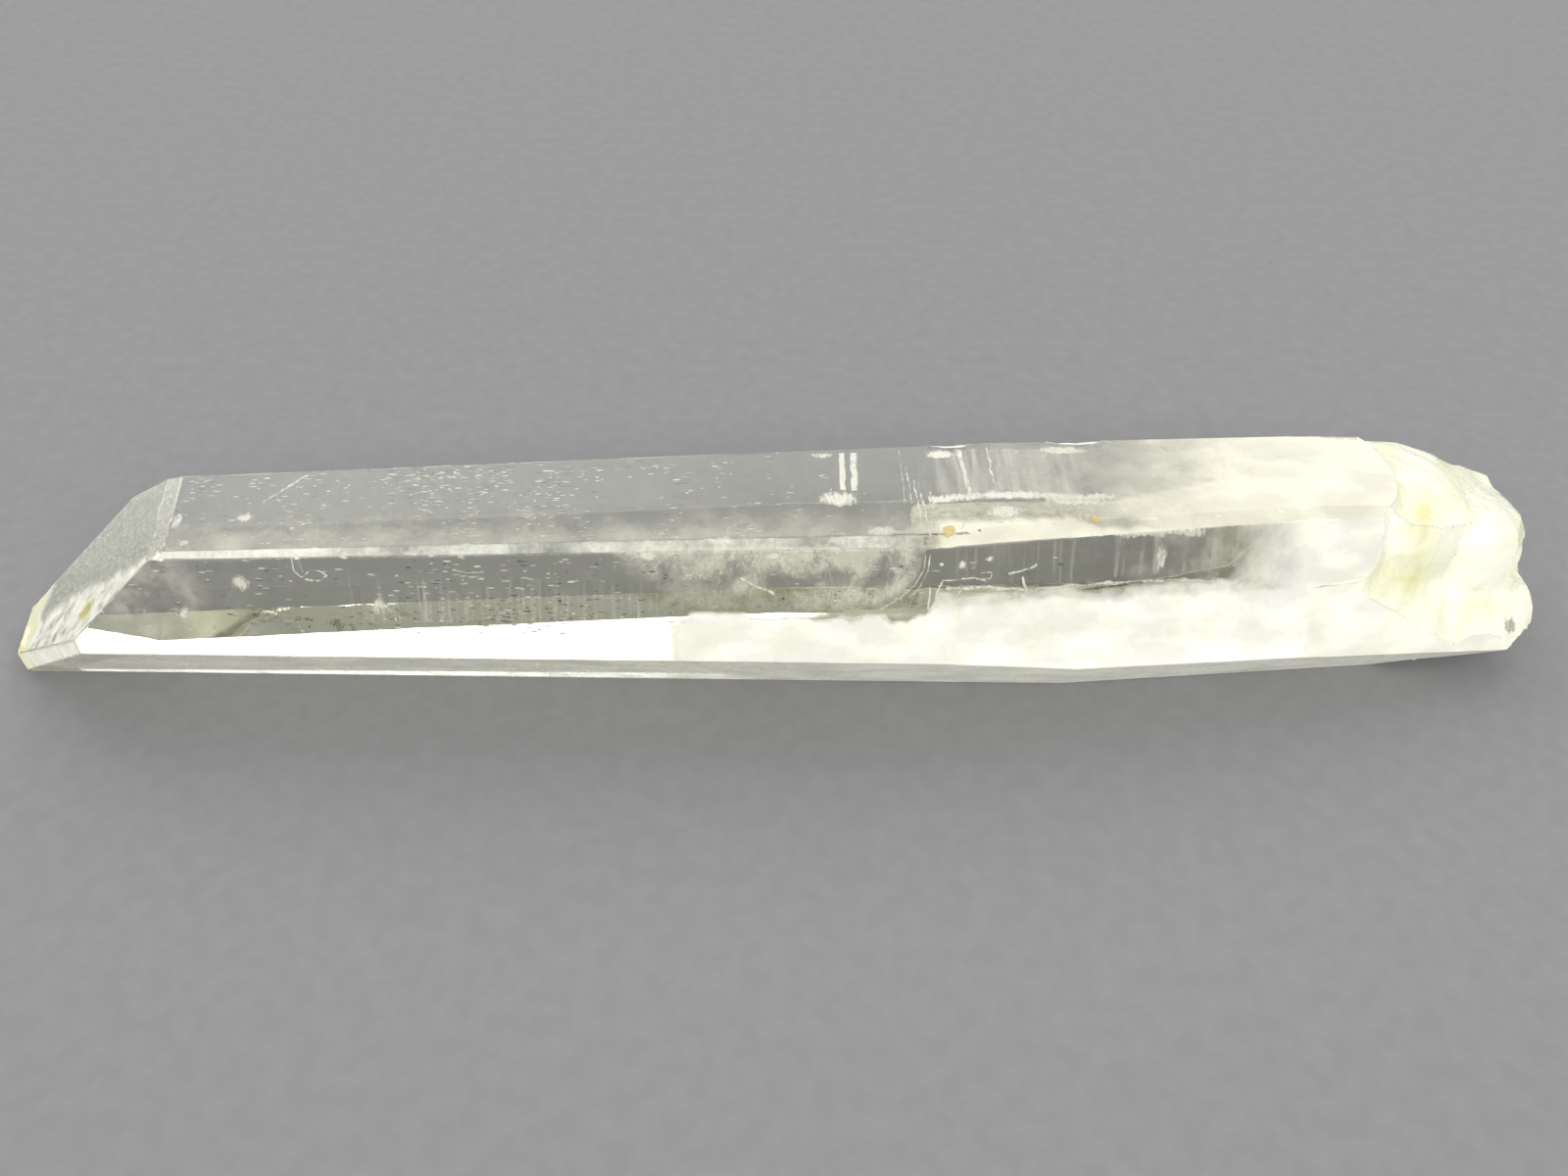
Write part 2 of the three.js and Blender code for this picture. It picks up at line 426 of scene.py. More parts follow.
def relief(place, share):
    """How far a point moves out along its normal, and how frosted it is."""
    # clean faces only wave
    clean = share[SIDE] + share[POINT] + share[SOFT_TOP]
    out = clean * waves(place, (0.006, 4), (0.002, 1.3))
    frost = CLEAN_FROST * clean + POINT_FROST * share[POINT] + POINT_FROST * share[SOFT_TOP]
    # the worn edge is pitted, and hazier near the point
    worn = share[WORN_EDGE]
    out += (worn > 0.99) * (waves(place, (0.02, 1.2)) - 0.02)
    hazy = WORN_FROST + waves(place, (0.14, 2.5)) + 0.16 * ramp(-place.x, 28 * MM, 33 * MM)
    frost += worn * hazy * (1 - ramp(place.x, WORN_START, WORN_END))
    # the rounded edges are nicked here and there
    nick = max(bumps(place + NICK_SHIFT, 0.8 * MM) - NICK_LEVEL, 0)
    frost += share[ROUNDED] * min(0.08 + 2.0 * nick, 1) * (place.y < NICKED_UP_TO)
    frost += 0.4 * share[ROUNDED] * ramp(-place.x, -POINT_ZONE, -POINT_ZONE + 0.5 * MM)
    # the strip on the point is chipped away, and its tip is rounded off
    strip = share[POINT] * chipped(place)
    out -= strip * (0.16 + 0.16 * ridges(place, 1.4 * MM) + waves(place, (0.03, 0.35)))
    frost += strip * (STRIP_FROST + waves(place, (0.45, 0.9)))
    tip = share[WORN_TIP] + ramp(-place.x, -TIP_RIM, 58 * MM)
    out += min(tip, 1) * (waves(place, (0.07, 0.9)) - 0.05)
    frost += TIP_FROST * tip
    # the break has broad shells, ridges and a fine grain, and one chip on it is clear
    fresh = share[BREAK]
    shell = waves(place, (0.20, 4.5)) + 0.10 * (ridges(place, 5.5 * MM) - 0.5)
    out += ramp(fresh, 0.6, 1) * (shell + waves(place, (0.03, 0.9)))
    torn = 0.35 * MM * bumps(place, 0.6 * MM)
    into_chip = CLEAR_CHIP_SIZE - (place - CLEAR_CHIP).length + torn
    frost += min(4 * fresh, 1) * (1 - 0.6 * ramp(into_chip, 0, 0.3 * MM))
    # small chips elsewhere are rough and white
    out += share[CHIP] * waves(place, (0.10, 0.5))
    frost += share[CHIP]
    return out * MM, min(frost, 1)


def sculpt(piece):
    mesh = piece.data
    frost = mesh.attributes.new("frost", "FLOAT", "POINT")
    stain = mesh.attributes.new("stain", "FLOAT", "POINT")
    moved = []
    for point, share in zip(mesh.vertices, kind_shares(mesh)):
        out, frosted = relief(point.co, share)
        frost.data[point.index].value = frosted
        stain.data[point.index].value = yellow(point.co, share)
        moved.append(point.co + point.normal * out * ramp(point.co.z, 0, 0.1 * MM))
    for point, place in zip(mesh.vertices, moved):
        point.co = place


sculpt(body)

# %% [markdown]
# Flat faces should shade as flat right up to their edges, and rough ones should roll from face to face.
# Smoothing by angle alone would do neither well, so the edges where a flat kind meets another are marked
# sharp, and those inside the rough kinds are cleared unless they fold hard.

# %% Set how the faces shade
SMOOTH_UNDER = math.radians(8)
SHARPEST_FOLD = math.radians(40)
FLAT_KINDS = {SIDE, POINT, SOFT_TOP}
ROUGH_KINDS = {BREAK, CHIP, WORN_EDGE, WORN_TIP}

only(body)
bpy.ops.object.shade_smooth_by_angle(angle=SMOOTH_UNDER)
soft_edges, borders = set(), set()
kind = body.data.attributes["kind"].data
for edge, faces in zip(body.data.edges, faces_beside(body.data)):
    kinds_here = {kind[face.index].value for face in faces}
    if kinds_here <= ROUGH_KINDS and faces[0].normal.angle(faces[-1].normal) < SHARPEST_FOLD:
        soft_edges.add(edge.index)
    if len(kinds_here) > 1 and kinds_here & FLAT_KINDS:
        borders.add(edge.index)
for chosen, clear in ((soft_edges, True), (borders, False)):
    edit_some(body, EDGES, lambda edge: edge.index in chosen)
    bpy.ops.mesh.mark_sharp(clear=clear)
    leave()
print("body, mm:", [round(v / MM, 2) for v in body.dimensions])

# %% [markdown]
# ## Frost and the milky base
# Frosting is a thin layer of crushed quartz, white because light scatters in it. Rough glass alone would
# only be grey and blurred, so the frost is its own film: the frosted faces are copied off the body,
# lifted by a few hundredths of a millimetre and given a thickness. The break gets a film of its own,
# nearly opaque and stained cream.

# %% Peel films off the body
FILM_LIFT = 0.03 * MM
FILM_THICKNESS = 0.02 * MM
LEAST_FROST = 0.12
NICKS_END = -8 * MM


def peel(source, name, test, before_shell=None):
    """A thin closed film over the faces of the source that pass a test; more may be done to the sheet
    before it gets its thickness."""
    film = duplicate_of(source, name)
    edit_some(film, FACES, lambda face: not test(face))
    bpy.ops.mesh.delete(type="FACE")
    bpy.ops.mesh.select_all(action="SELECT")
    bpy.ops.transform.shrink_fatten(value=FILM_LIFT)
    leave()
    if before_shell:
        before_shell(film)
    apply_modifier(film, "SOLIDIFY", thickness=FILM_THICKNESS, offset=-1)
    print(name, triangles(film), "triangles")
    return film


frost_at = [value.value for value in body.data.attributes["frost"].data]
kind_at = [value.value for value in body.data.attributes["kind"].data]


def is_frosted(face):
    kind = kind_at[face.index]
    smooth = kind in (BREAK, SIDE) or kind == ROUNDED and face.center.x > NICKS_END
    return max(frost_at[i] for i in face.vertices) > LEAST_FROST and not smooth


frost_film = peel(body, "worn_frost", is_frosted)
base_film = peel(body, "broken_base", lambda face: kind_at[face.index] == BREAK)

# %% [markdown]
# ## The milky cloud
# Towards its base the crystal is full of tiny bubbles that make it milky. The cloud has a shape: a wedge
# that lies along the lower front edge, under a flat slanting roof, and that swells to fill the whole
# crystal near the break. A volume shader would show it, but no game engine or printer could read that,
# so the cloud is made of nested closed skins, patchy and half clear outside, solid inside. Each skin is
# a smaller copy of the crystal, remeshed into even faces, with every point above the roof pulled down
# onto it.

# %% Shape the nested skins of the cloud
CLOUD_START = -10 * MM
CORE_Y, CORE_Z, CORE_WIDTH = -1.0 * MM, 7.2 * MM, 9.5 * MM
HEART_Y, HEART_Z = -4.5 * MM, 3 * MM
ROOF_SLOPE = 0.857
ROOF_FOOT = -7.9 * MM
ROOF = in_mm([
    (-10, 8.3), (-5.6, 9.0), (1.3, 8.9), (7.5, 9.8), (11.2, 10.1), (11.7, 11.9),
    (22, 12.1), (29, 12.4), (33, 12.8), (36, 15), (39, 19), (43, 32),
])
SKIN_VOXEL = 0.55 * MM
CLOUD_INSETS = {"cloud_outer": 0.45 * MM, "cloud_middle": 1.2 * MM, "cloud_core": 2.2 * MM}


def over_foot(place):
    """How high a place is, measured square to the slanting roof of the cloud."""
    return place.z + ROOF_SLOPE * (place.y - ROOF_FOOT)


def under_roof(place, drop):
    """Pulls a point that is above the roof down to it, towards the heart of the wedge."""
    ragged = 0.5 * MM * bumps(place, 2.5 * MM) + 0.3 * MM * ridges(place, 5 * MM)
    roof = along(place.x, ROOF) - drop + ragged
    if over_foot(place) <= roof:
        return place
    heart = Vector((place.x, HEART_Y, HEART_Z))
    share = (roof - over_foot(heart)) / (over_foot(place) - over_foot(heart))
    return heart + (place - heart) * share


def cloud_skin(name, inset):
    """One closed skin of the cloud, a given depth inside the crystal."""
    skin = copy_of_solid(name)
    edit(skin)
    bpy.ops.transform.resize(
        value=(1 - inset / high.x, 1 - inset / CORE_WIDTH, 1 - inset / CORE_Z),
        center_override=(0, CORE_Y, CORE_Z),
    )
    bpy.ops.mesh.bisect(
        plane_co=(CLOUD_START + inset, 0, 0), plane_no=(1, 0, 0), use_fill=True, clear_inner=True
    )
    leave()
    apply_modifier(skin, "REMESH", mode="VOXEL", voxel_size=SKIN_VOXEL)
    for point in skin.data.vertices:
        place = under_roof(point.co.copy(), inset)
        point.co = place + point.normal * 0.12 * MM * bumps(place, 1.7 * MM)
    bpy.ops.object.shade_smooth()
    print(name, triangles(skin), "triangles")
    return skin


cloud = {name: cloud_skin(name, inset) for name, inset in CLOUD_INSETS.items()}

# %% [markdown]
# Where the milk reaches the faces, the stone is white right up to its polished skin, and only a film
# just over the face can catch the light as strongly as that does. The film is smooth, so it still
# shines, and its points know how milky the stone is under them: solid below the line where the roof of
# the cloud meets the upper front face, thinning out over the top, and solid all round near the break.

# %% Say how milky the stone is under each face
MILK_LINE = in_mm([
    (-7.5, 9.2), (-5.6, 9.8), (-2.5, 10.1), (0.8, 9.6), (10, 9.7), (11.5, 10.2),
    (11.8, 11.4), (15, 11.4), (22, 10.9), (33, 10.5), (60, 9.5),
])
DIAGONAL = in_mm([(22, -2.0), (25.8, -1.1), (37.2, 1.9), (50, 3)])
MILK_FULL = in_mm([(-8, 0), (-5.8, 0.86), (10, 0.9), (13, 0.95), (32, 1.0)], 1)
MILK_ON_TOP = in_mm([(10, 0), (14, 0.08), (19, 0.20), (25, 0.22), (33, 0.62), (40, 0.9)], 1)
# Along the lower front face this milk is partly painted light: left of the cloud it is a thin pale film
# for the brightness that light gives that narrow face, and under the cloud it is the cloud's milk.
MILK_AND_PAINTED_LIGHT_BELOW = in_mm([(-30, 0.36), (-8, 0.42), (8, 0.85), (32, 1.0)], 1)
BASE_MILK = in_mm([(18, 0), (26, 0.07), (33, 0.22), (37, 0.6), (40, 0.95)], 1)
# The faint haze near the point on the upper front face is partly painted light: a pale milk that also
# lightens a patch which long paths through the glass leave dark.
RIDGE_MILK, STRIP_MILK, DIAGONAL_MILK, LEFT_HAZE_AND_PAINTED_LIGHT, GREY = 0.30, 0.80, 0.2, 0.14, 0.5
UPPER_FRONT = 0.3


def milk_on_top(x, y, ragged):
    """On the top: along the ridge, in a strip beside it, and thickening towards the break."""
    ridge = RIDGE_MILK * ramp(-y, 0.5 * MM, 5.4 * MM)
    strip = STRIP_MILK * ramp(x, 11.3 * MM, 12.5 * MM) * ramp(-y - ragged, 3.3 * MM, 4.3 * MM)
    below = ramp(along(x, DIAGONAL) - y, 0, 0.5 * MM) * ramp(x, 21 * MM, 26 * MM)
    return max(ridge, strip, along(x, MILK_ON_TOP) + DIAGONAL_MILK * below)


def milk_under(place, way):
    """How milky the stone is under a place on its skin, where its normal is way. On the lower front
    face left of the cloud the number is painted light.
    """
    x = place.x
    ragged = 0.4 * MM * bumps(place, 2.2 * MM)
    base = along(x + ragged, BASE_MILK)
    if way.z > UP:
        return milk_on_top(x, place.y, ragged)
    if way.y < 0 and way.z > UPPER_FRONT:
        depth = along(x, MILK_LINE) - place.z + ragged
        grey = GREY * ramp(x, 11.4 * MM, 11.8 * MM) * (1 - ramp(depth, 0.6 * MM, 1.5 * MM))
        milk = ramp(depth, 0, 0.4 * MM) * along(x, MILK_FULL) * (1 - grey)
        return max(milk, base, LEFT_HAZE_AND_PAINTED_LIGHT * ramp(-x, 30 * MM, 41 * MM))
    # Lower faces: the cloud's milk, and along the front one a thin painted light out to the point.
    depth = along(x, ROOF) - over_foot(place) + ragged
    return max(ramp(depth, 0, 0.5 * MM) * along(x, MILK_AND_PAINTED_LIGHT_BELOW if way.y < 0 else MILK_FULL), base)


# %% [markdown]
# The film keeps only the faces with some milk under them. Those that rest on the floor stay bare until
# near the break, because they must go on reflecting like a mirror from inside. The faces of the film
# also carry a painted shade: the top and the upper front catch the most light and would glare, so their
# milk is painted greyer than the milk lower down, and on the top it is tinted cream.

# %% Lay the milk that reaches the faces
LEAST_MILK = 0.03
BARE_REST_END = 36 * MM
RESTS, UNDERSIDE = -0.9, -0.3
# Painted shade: the milk of the top and the upper front is darkened because they catch the most light,
# while the lower faces, which catch little, keep their milk fully white.
TOP_SHADE, FRONT_SHADE, LOWER_SHADE = 0.62, 0.73, 1.0
FINE_FACE, REFINEMENTS = 0.12 * MM * MM, 3


def is_milky(face):
    x, kind = face.center.x, kind_at[face.index]
    rests = face.normal.z < RESTS and x < BARE_REST_END
    clean = kind in (SIDE, ROUNDED) or kind == WORN_EDGE and x > WORN_START
    if rests or not clean:
        return False
    places = [face.center] + [body.data.vertices[i].co for i in face.vertices]
    return max(milk_under(place, face.normal) for place in places) > LEAST_MILK


def note_milk(film):
    """Refines the film, and notes how milky its points are and the painted shade of its faces."""
    for _ in range(REFINEMENTS):
        edit_some(film, FACES, lambda face: face.area > FINE_FACE)
        bpy.ops.mesh.subdivide(number_cuts=1)
        leave()
    full = [0.0] * len(film.data.vertices)
    shade = []
    for face in film.data.polygons:
        up = face.normal.z
        shade.append(TOP_SHADE if up > UP else FRONT_SHADE if up > UNDERSIDE else LOWER_SHADE)
        for i in face.vertices:
            full[i] = max(full[i], milk_under(film.data.vertices[i].co, face.normal))
    film.data.attributes.new("full", "FLOAT", "POINT").data.foreach_set("value", full)
    film.data.attributes.new("shade", "FLOAT", "FACE").data.foreach_set("value", shade)


milk_film = peel(body, "milky_skin", is_milky, note_milk)

# %% [markdown]
# ## Sheets and specks sealed in the stone
# Crystals heal as they grow. A crack that closes again leaves a sheet of tiny bubbles, a pause in growth
# leaves faint outlines of the old faces, and liquid is trapped as flat specks. They all lie just under
# the faces that they are seen through, so each sheet starts as a flat grid, and its points are then
# dropped onto the face and pushed in by a depth.

# %% Helpers that drop a point onto a face and push it in
SHEET_THICKNESS = 0.03 * MM
SHEET_SMOOTH_UNDER = math.radians(40)

only(body)
skin_of_body = BVHTree.FromObject(body, bpy.context.evaluated_depsgraph_get())


def dropped(start, way, depth):
    """Where a ray from a start meets the skin, pushed in by a depth, or None where it misses."""
    spot, normal, _, _ = skin_of_body.ray_cast(Vector(start), Vector(way))
    return spot - normal * depth if spot else None


def under_top(x, y, depth):
    """A place under the top face."""
    return dropped((x, y, 2 * TOP), (0, 0, -1), depth)


def under_front(x, z, depth):
    """A place under the upper front face."""
    return dropped((x, 2 * low.y, z), (0, 1, 0), depth)


def sheet(name, where, across, down, full, thickness=SHEET_THICKNESS):
    """A thin closed sheet. where and full take two shares, along and down it, and give a place and how
    full of bubbles it is there; places given as None are left out."""
    bpy.ops.object.select_all(action="DESELECT")
    bpy.ops.mesh.primitive_grid_add(x_subdivisions=across, y_subdivisions=down, size=1)
    made = bpy.context.object
    made.name = name
    amount = made.data.attributes.new("full", "FLOAT", "POINT")
    left_out = set()
    for point in made.data.vertices:
        u, v = point.co.x + 0.5, 0.5 - point.co.y
        place = where(u, v)
        if place is None:
            left_out.add(point.index)
            continue
        point.co = place
        amount.data[point.index].value = full(u, v)
    edit_some(made, FACES, lambda face: any(i in left_out for i in face.vertices))
    bpy.ops.mesh.delete(type="FACE")
    leave()
    if thickness:
        apply_modifier(made, "SOLIDIFY", thickness=thickness)
        bpy.ops.object.shade_smooth_by_angle(angle=SHEET_SMOOTH_UNDER)
    return made


def join(name, pieces):
    """Joins small pieces into one."""
    only(pieces[0])
    for piece in pieces[1:]:
        piece.select_set(True)
    bpy.ops.object.join()
    pieces[0].name = name
    return pieces[0]


# %% [markdown]
# The veil is a healed crack under the middle of the upper front face. Its right-hand end is a clean
# curve, as the front of a crack is, with a bright rim; its left-hand end fades out in wisps. A flat card
# would vanish where it is seen edge on, so the sheet is bent, and lies deeper towards its foot.

# %% The veil
VEIL_LEFT, VEIL_RIGHT = -11.5 * MM, 11.2 * MM
VEIL_TOP, VEIL_BOTTOM = 13.9 * MM, 9.3 * MM
VEIL_CURVE_START = 5.0 * MM
FRONT_TOP = 13.4 * MM


def veil_bottom(x):
    """The lower edge of the veil: it curves up to the ridge at the right."""
    turn = max(x - VEIL_CURVE_START, 0) / (VEIL_RIGHT - VEIL_CURVE_START)
    return VEIL_TOP - (VEIL_TOP - VEIL_BOTTOM) * math.sqrt(max(1 - turn * turn, 0))


def veil_place(u, v):
    x = between(VEIL_LEFT, VEIL_RIGHT, u)
    z = between(VEIL_TOP, veil_bottom(x), v)
    depth = 0.9 * MM + 0.35 * MM * bumps(Vector((x, 0, z)), 3 * MM) + 0.6 * MM * v
    return under_front(x, min(z, FRONT_TOP), depth) + Vector((0, 0, max(z - FRONT_TOP, 0)))


def veil_full(u, v):
    left = ramp(u + 0.10 * bumps(Vector((u, v * 5, 3)), 1), 0.0, 0.22)
    puffs = 0.25 * max(bumps(Vector((u * 6, v * 1.6, 3)), 1), 0)
    lower_rim = 1 - ramp(v, 0.8, 1.0)
    towards_rim = 0.14 * ramp(u, 0.45, 0.75)
    return left * (0.10 + 0.22 * lower_rim + 0.50 * (1 - v) ** 2 + towards_rim + puffs)


veil = sheet("healed_veil", veil_place, 110, 26, veil_full)

# %% [markdown]
# The slanting roof of the cloud is brighter than what lies below it. The skins of the cloud are too
# soft there to show it, so it is a sheet of its own. It runs from the upper front face, where its
# ragged edge is seen as a bright line, down to the back of the resting face, and stops a little inside
# the skin there.

# %% The roof of the cloud
ROOF_LEFT, ROOF_RIGHT = 11.4 * MM, 35 * MM
ROOF_END_Z, ROOF_END_GAP = 0.4 * MM, 0.6 * MM
ROOF_DEPTH = 0.15 * MM


def roof_place(u, v):
    x = between(ROOF_LEFT, ROOF_RIGHT, u)
    roof = along(x, ROOF)
    start = under_front(x, (roof - ROOF_SLOPE * 0.9 * MM) * 0.94, ROOF_DEPTH)
    back = dropped((x, 2 * high.y, ROOF_END_Z), (0, -1, 0), 0)
    foot_y = min((roof - ROOF_END_Z) / ROOF_SLOPE + ROOF_FOOT, back.y - ROOF_END_GAP)
    place = start.lerp(Vector((x, foot_y, ROOF_END_Z)), v)
    return place + Vector((0, 0, 0.12 * MM * bumps(place, 1.2 * MM)))


def roof_full(u, v):
    middle = ramp(v, 0.25, 0.6) * (1 - ramp(v, 0.8, 0.92))
    return 0.85 - 0.30 * middle


roof = sheet("cloud_roof", roof_place, 100, 40, roof_full)

# %% [markdown]
# Fine bright lines are the edges of growth layers and of small cracks seen end on. They could be drawn
# in the finish of the face, but what lies in a stone shifts against its skin as the eye moves. So each
# is a narrow ribbon through a few marks just under a face. The marks on the top face are places along
# and across the crystal, and those on the upper front face are places along it and heights. After the
# marks come its width, how full it is and how far it wanders.

# %% Ribbons under the faces
RIBBON_DEPTH, PUFF_DEPTH = 0.2, 0.25
RIBBON_STEP, LEAST_STEPS = 0.15, 6


def ribbon(name, under, marks, width, fullness, wander):
    """A narrow bright ribbon under a face, through marks in millimetres."""
    spans = [math.dist(a, b) for a, b in zip(marks, marks[1:])]
    reach = [sum(spans[:i]) / sum(spans) for i in range(len(marks))]

    def where(u, v):
        i = max(k for k in range(len(spans)) if reach[k] <= u + 1e-6)
        share = (u - reach[i]) / (reach[i + 1] - reach[i])
        (x, t), (next_x, next_t) = marks[i], marks[i + 1]
        way = Vector((next_x - x, next_t - t)).normalized()
        x, t = between(x, next_x, share), between(t, next_t, share)
        side = width * (v - 0.5) + wander * bumps(Vector((x, t, v)), 0.8)
        return under((x - way.y * side) * MM, (t + way.x * side) * MM, RIBBON_DEPTH * MM)

    def full(u, v):
        return fullness * (1.05 - 0.7 * abs(2 * v - 1) ** 2)

    return sheet(name, where, max(int(sum(spans) / RIBBON_STEP), LEAST_STEPS), 4, full)


def set_of(make, name, under, rows):
    """Makes one small sheet for each row of a list."""
    return [make(f"{name}_{i}", under, *row) for i, row in enumerate(rows)]


TOP_RIBBONS = [
    ([(5.55, 3.75), (5.50, -0.3)], 0.50, 1.00, 0.05),
    ([(6.40, 3.75), (6.35, -0.4)], 0.55, 1.00, 0.05),
    ([(14.2, 3.9), (14.4, 1.6), (14.6, -1.2)], 0.35, 0.85, 0.12),
    ([(11.75, -0.7), (11.9, -2.6)], 0.16, 0.80, 0.10),
    ([(11.1, -0.9), (11.4, -5.3)], 0.14, 0.85, 0.12),
    ([(10.7, 0.6), (11.0, -5.3)], 0.10, 0.75, 0.12),
    ([(10.2, 2.1), (10.5, -4.1)], 0.08, 0.65, 0.10),
    ([(9.85, 3.9), (9.90, -1.9)], 0.08, 0.60, 0.06),
    ([(16.3, 4.0), (16.4, -0.9)], 0.20, 0.70, 0.15),
    ([(11.6, -1.6), (15.0, -1.2), (18.8, -1.1), (22.3, -1.3), (25.0, -1.2)], 0.80, 0.95, 0.20),
    ([(12.0, -5.1), (16.0, -4.9), (20.5, -4.7), (25.0, -4.4), (31.0, -3.9)], 0.45, 0.85, 0.15),
    ([(-36.7, -0.3), (-34.2, 2.6)], 0.30, 0.60, 0.10),
]
LONG_LINE = [(12.6, 11.5), (15.0, 11.4), (18.6, 10.9), (22.0, 10.95), (29.2, 10.7), (32.8, 10.3)]
SMALL_LOOP = [
    (-33.2, 13.0), (-33.1, 12.1), (-32.6, 11.7), (-31.9, 12.2), (-31.2, 12.1), (-30.8, 11.8)
]
VEIL_RIM = [(11.1, 13.6), (11.0, 12.6), (10.5, 11.8), (9.5, 10.9), (8.0, 10.1), (6.4, 9.6)]
FRONT_RIBBONS = [
    (LONG_LINE, 0.20, 0.95, 0.14),
    ([(11.5, 11.6), (11.4, 10.1)], 0.20, 1.00, 0.02),
    ([(12.3, 11.9), (11.95, 11.2), (11.9, 10.1)], 0.16, 1.00, 0.02),
    ([(12.3, 12.0), (14.5, 12.05), (15.4, 11.75)], 0.10, 0.85, 0.05),
    ([(15.0, 12.3), (15.8, 12.3), (15.8, 11.9), (15.0, 11.9)], 0.08, 0.80, 0.03),
    ([(13.8, 11.5), (13.4, 11.0), (13.2, 10.4)], 0.10, 0.85, 0.04),
    ([(17.0, 12.1), (18.6, 12.3), (19.0, 12.5)], 0.16, 0.90, 0.08),
    ([(18.0, 11.8), (18.2, 11.2), (18.9, 10.4)], 0.16, 0.85, 0.10),
    ([(16.0, 10.9), (16.1, 9.9)], 0.22, 0.90, 0.06),
    (SMALL_LOOP, 0.12, 0.75, 0.06),
    ([(-32.4, 11.6), (-31.4, 11.5), (-30.9, 11.8)], 0.10, 0.65, 0.05),
    ([(-1.8, 12.0), (0.6, 11.0)], 0.22, 0.80, 0.10),
    (VEIL_RIM, 0.10, 0.75, 0.06),
    ([(11.4, 13.6), (11.3, 12.6), (10.8, 11.6), (9.8, 10.7)], 0.08, 0.65, 0.06),
]
ribbons = set_of(ribbon, "top_ribbon", under_top, TOP_RIBBONS)
ribbons += set_of(ribbon, "front_ribbon", under_front, FRONT_RIBBONS)
print("ribbons:", len(ribbons))

# %% [markdown]
# Small puffs are clusters of bubbles. Modelling each bubble would be heavy and show nothing at this
# size, so a puff is a round sheet that fades to nothing at its rim. A row gives its place, its length
# and width, and how full it is. Some puffs stand in for glints instead: white patches painted where a
# flat pocket of liquid flashes with reflected light. Two more are iron specks on the skin, which get a
# stain instead of milk.

# %% Puffs under the faces
def puff(name, under, x, t, length, width, fullness, depth=PUFF_DEPTH):
    """A small round puff under a face, of bubbles, and for some rows a painted glint; sizes in
    millimetres.
    """
    def where(u, v):
        return under((x + length * (u - 0.5)) * MM, (t + width * (0.5 - v)) * MM, depth * MM)

    def full(u, v):
        return fullness * (1 - ramp(math.hypot(2 * u - 1, 2 * v - 1), 0.2, 1.0))

    return sheet(name, where, 20, 14, full)


# Of these, the puff at -37.5 mm is a painted glint.
TOP_PUFFS_AND_GLINTS = [
    (5.2, -1.2, 4.0, 2.4, 0.90), (16.8, -2.9, 3.4, 2.0, 1.00), (8.0, -4.6, 3.0, 1.4, 0.90),
    (12.9, 3.4, 2.8, 1.3, 1.30), (21.9, 3.9, 4.8, 1.1, 1.30), (4.0, 3.6, 2.4, 0.9, 0.70),
    (-37.5, -1.9, 1.9, 1.4, 0.85), (-42.4, -2.1, 1.1, 2.6, 0.75), (-41.2, -4.4, 1.2, 1.1, 0.75),
    (22.5, -1.6, 9.0, 1.6, 0.80), (-3.0, -5.2, 3.0, 1.2, 0.90),
]
# Of these, the puffs at -41.4, -37.0, -27.4 and 13.7 mm are painted glints.
FRONT_PUFFS_AND_GLINTS = [
    (-37.0, 11.3, 1.7, 1.3, 0.85), (-41.4, 9.3, 1.4, 1.2, 0.80), (-27.4, 9.9, 1.7, 1.5, 0.75),
    (13.7, 12.9, 0.7, 0.8, 1.10), (15.6, 13.1, 1.0, 0.5, 0.80), (12.2, 13.0, 0.5, 0.4, 0.90),
    (28.0, 12.2, 1.2, 2.6, 0.80), (-8.2, 13.3, 2.4, 0.9, 1.10), (0.6, 13.4, 1.3, 0.8, 1.10),
]
IRON_SPECKS = [(12.7, -4.9, 1.5, 1.5, 0.85, -0.08), (23.1, -3.6, 1.2, 1.1, 0.75, -0.08)]
puffs = set_of(puff, "top_puff", under_top, TOP_PUFFS_AND_GLINTS)
puffs += set_of(puff, "front_puff", under_front, FRONT_PUFFS_AND_GLINTS)
bright_lines = join("bright_lines", ribbons + puffs)
iron = join("iron_specks", set_of(puff, "iron", under_top, IRON_SPECKS))
print("puffs:", len(puffs), "lines and puffs together:", triangles(bright_lines), "triangles")

# %% [markdown]
# The streaks across the top, and the fine lines on the upper front face, over the bright band and
# beside the break, are too many and too faint to draw one by one. Broad soft sheets carry them, and
# noise that is stretched one way breaks the sheets up into streaks.

# %% Streaks
BACK_EDGE, RIDGE = 4.0, -5.2


def top_place(left, right, depth):
    """Places under the top face, from the back edge of the face to the ridge."""
    return lambda u, v: under_top(
        between(left, right, u) * MM, between(BACK_EDGE, RIDGE, v) * MM, depth * MM
    )


def front_place(left, right, upper, lower, depth):
    """Places under the upper front face."""
    return lambda u, v: under_front(
        between(left, right, u) * MM, between(upper, lower, v) * MM, depth * MM
    )


def top_streaks_full(u, v):
    return 0.48 * ramp(u, 0.02, 0.3) * (1 - ramp(u, 0.6, 1)) * (1 - ramp(v, 0.5, 0.62))


def front_streaks_full(u, v):
    return 0.34 * ramp(u, 0, 0.3) * (1 - ramp(u, 0.7, 1)) * ramp(v, 0, 0.6)


def base_streaks_full(u, v):
    return 0.20 + 0.12 * u


